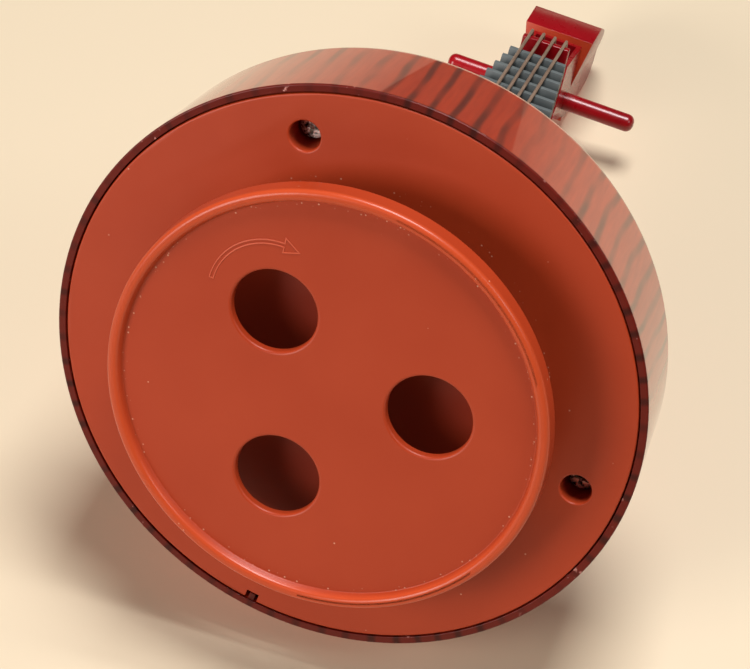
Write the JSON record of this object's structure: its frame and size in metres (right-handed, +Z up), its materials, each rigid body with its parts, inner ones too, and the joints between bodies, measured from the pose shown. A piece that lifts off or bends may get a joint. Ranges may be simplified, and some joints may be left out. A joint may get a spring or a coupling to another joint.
{
  "type": "wind-up music box",
  "caption": "Round drum music box wound by a finger disc under it, with a small four-string lute standing on top; the drum revolves on the disc as it plays.",
  "frame": {"origin": "on the table, at the centre of the ring on which the winding disc rests", "axes": "+Z up along the drum's axis; the strings face -Y"},
  "size_m": [0.1, 0.1, 0.1507],
  "materials": {
    "drum_lacquer": "wood-grain print under gloss lacquer",
    "terracotta_plastic": "satin moulded",
    "zinc_steel": "zinc plated",
    "tool_steel": "polished",
    "brass": "turned",
    "bright_plate": "nickel plated",
    "white_nylon": "natural",
    "crimson_lacquer": "gloss lacquer",
    "pale_board": "satin wood print",
    "fret_grey": "satin moulded",
    "string_bronze": "drawn"
  },
  "bodies": {
    "ornament": {"base_shell": "drum_lacquer", "base_plate": "terracotta_plastic", "base_screws": "zinc_steel", "bedplate_screws": "zinc_steel", "comb_screws": "zinc_steel", "train_screws": "zinc_steel", "comb": "tool_steel", "governor_stub": "tool_steel", "mainspring": "tool_steel", "arbor_bush": "brass", "comb_block": "brass", "bedplate": "bright_plate", "spring_case": "bright_plate", "train_plate": "bright_plate", "lute_back": "crimson_lacquer", "neck": "crimson_lacquer", "lute_head": "crimson_lacquer", "peg_left": "crimson_lacquer", "peg_right": "crimson_lacquer", "soundboard": "pale_board", "bridge": "fret_grey", "board_frets": "fret_grey", "neck_frets": "fret_grey", "nut": "fret_grey", "string_1": "string_bronze", "string_2": "string_bronze", "string_3": "string_bronze", "string_4": "string_bronze"},
    "winder": {"winding_disc": "terracotta_plastic", "winding_arbor": "tool_steel", "arbor_clip": "tool_steel", "ratchet_wheel": "tool_steel", "click": "tool_steel", "click_pin": "tool_steel", "crown_wheel": "brass"},
    "cylinder": {"pin_cylinder": "brass", "cylinder_plugs": "white_nylon", "cylinder_arbor": "tool_steel", "cylinder_pinion": "white_nylon", "cylinder_wheel": "brass"},
    "governor": {"governor_wheel": "white_nylon"},
    "fan": {"fan_spindle": "tool_steel", "fan": "white_nylon"}
  },
  "joints": [
    {"name": "disc_turn", "type": "hinge", "parent": "ornament", "child": "winder", "pos_m": [0, 0, 0], "axis": [0, 0, 1], "continuous": true},
    {"name": "cylinder_turn", "type": "hinge", "parent": "ornament", "child": "cylinder", "pos_m": [0.01085, 0.02581, 0.0257], "axis": [0.3875, 0.9219, 0], "continuous": true},
    {"name": "governor_turn", "type": "hinge", "parent": "ornament", "child": "governor", "pos_m": [0.02365, 0.03562, 0.0257], "axis": [0.3875, 0.9219, 0], "continuous": true},
    {"name": "fan_turn", "type": "hinge", "parent": "ornament", "child": "fan", "pos_m": [0.02717, 0.02438, 0.0257], "axis": [0.3875, 0.9219, 0], "continuous": true}
  ],
  "couplings": [
    {"joint": "cylinder_turn", "follows": "disc_turn", "ratio": -3.6667},
    {"joint": "governor_turn", "follows": "disc_turn", "ratio": 11},
    {"joint": "fan_turn", "follows": "disc_turn", "ratio": -41.25}
  ]
}
